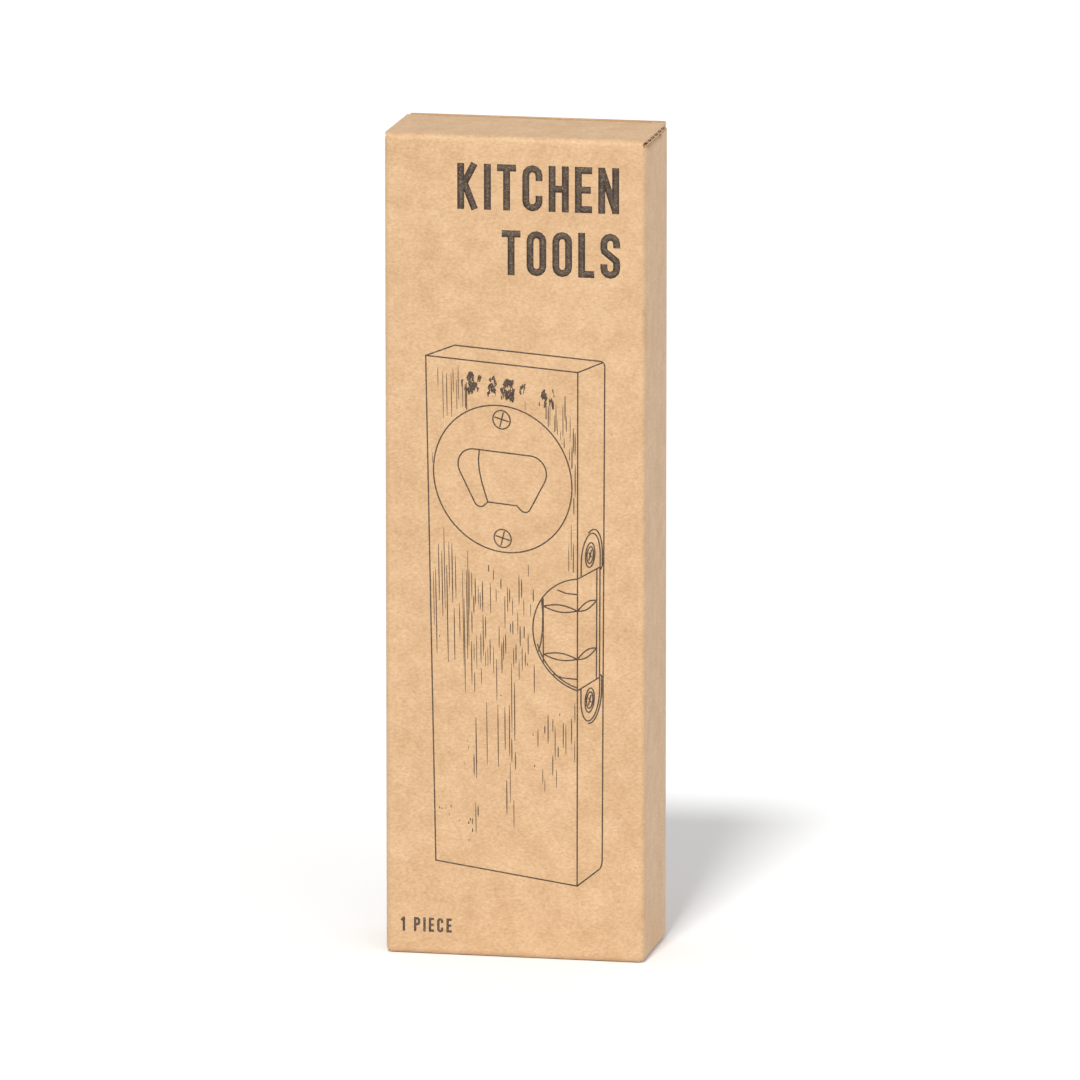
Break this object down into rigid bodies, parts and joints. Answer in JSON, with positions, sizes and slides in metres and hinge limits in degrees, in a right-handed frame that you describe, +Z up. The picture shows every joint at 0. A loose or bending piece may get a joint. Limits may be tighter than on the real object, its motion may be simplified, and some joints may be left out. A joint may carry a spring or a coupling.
{
  "type": "bottle opener",
  "caption": "Wooden bottle opener with a round steel cap plate and a spirit level in its side, packed in an upright board carton with a tuck lid.",
  "frame": {"origin": "centre of the carton's footprint, on the surface it stands on", "axes": "+Z up along the carton's height, +X to the right along its width, -Y out of the printed front panel"},
  "size_m": [0.049, 0.023, 0.155],
  "materials": {
    "kraft_liner": "matte",
    "print_ink": "matte",
    "block_wood": "satin",
    "plate_steel": "brushed",
    "screw_steel": "satin",
    "clear_acrylic": "gloss",
    "ring_black": "gloss",
    "spirit": "gloss",
    "bubble_air": "gloss"
  },
  "bodies": {
    "carton": {"front_panel": "kraft_liner", "back_panel": "kraft_liner", "left_side_panel": "kraft_liner", "right_side_panel": "kraft_liner", "glue_flap": "kraft_liner", "bottom_front_flap": "kraft_liner", "bottom_back_flap": "kraft_liner", "bottom_side_flap_left": "kraft_liner", "bottom_side_flap_right": "kraft_liner"},
    "lid": {"lid": "kraft_liner"},
    "tuck_flap": {"tuck_flap": "kraft_liner"},
    "dust_flap_left": {"dust_flap_left": "kraft_liner"},
    "dust_flap_right": {"dust_flap_right": "kraft_liner"},
    "opener": {"wood_block": "block_wood", "opener_plate": "plate_steel", "plate_screw_upper": "screw_steel", "plate_screw_lower": "screw_steel", "level_body": "clear_acrylic", "vial_plug": "clear_acrylic", "marker_ring_upper": "ring_black", "marker_ring_lower": "ring_black", "spirit_fill": "spirit", "level_screw_upper": "screw_steel", "level_screw_lower": "screw_steel"},
    "bubble": {"bubble": "bubble_air"}
  },
  "joints": [
    {"name": "opener_lift", "type": "slide", "parent": "carton", "child": "opener", "axis": [0, 0, 1], "range_m": [0, 0.08]},
    {"name": "lid_hinge", "type": "hinge", "parent": "carton", "child": "lid", "pos_m": [0, -0.01129, 0.15479], "axis": [1, 0, 0], "range_deg": [0, 230]},
    {"name": "tuck_crease", "type": "hinge", "parent": "lid", "child": "tuck_flap", "pos_m": [0, 0.00991, 0.15445], "axis": [1, 0, 0], "range_deg": [0, 70]},
    {"name": "dust_crease_right", "type": "hinge", "parent": "carton", "child": "dust_flap_right", "pos_m": [0.02429, 0, 0.15354], "axis": [0, 1, 0], "range_deg": [0, 207]},
    {"name": "dust_crease_left", "type": "hinge", "parent": "carton", "child": "dust_flap_left", "pos_m": [-0.02429, 0, 0.15354], "axis": [0, -1, 0], "range_deg": [0, 207]},
    {"name": "bubble_travel", "type": "slide", "parent": "opener", "child": "bubble", "axis": [0, 0, 1], "range_m": [-0.0081, 0], "stiffness_N_per_m": 2, "springref_m": 0.01}
  ],
  "couplings": [
    {"joint": "lid_hinge", "follows": "opener_lift", "rad_per_m": 50},
    {"joint": "tuck_crease", "follows": "opener_lift", "rad_per_m": 15},
    {"joint": "dust_crease_right", "follows": "opener_lift", "rad_per_m": 45},
    {"joint": "dust_crease_left", "follows": "opener_lift", "rad_per_m": 45}
  ]
}
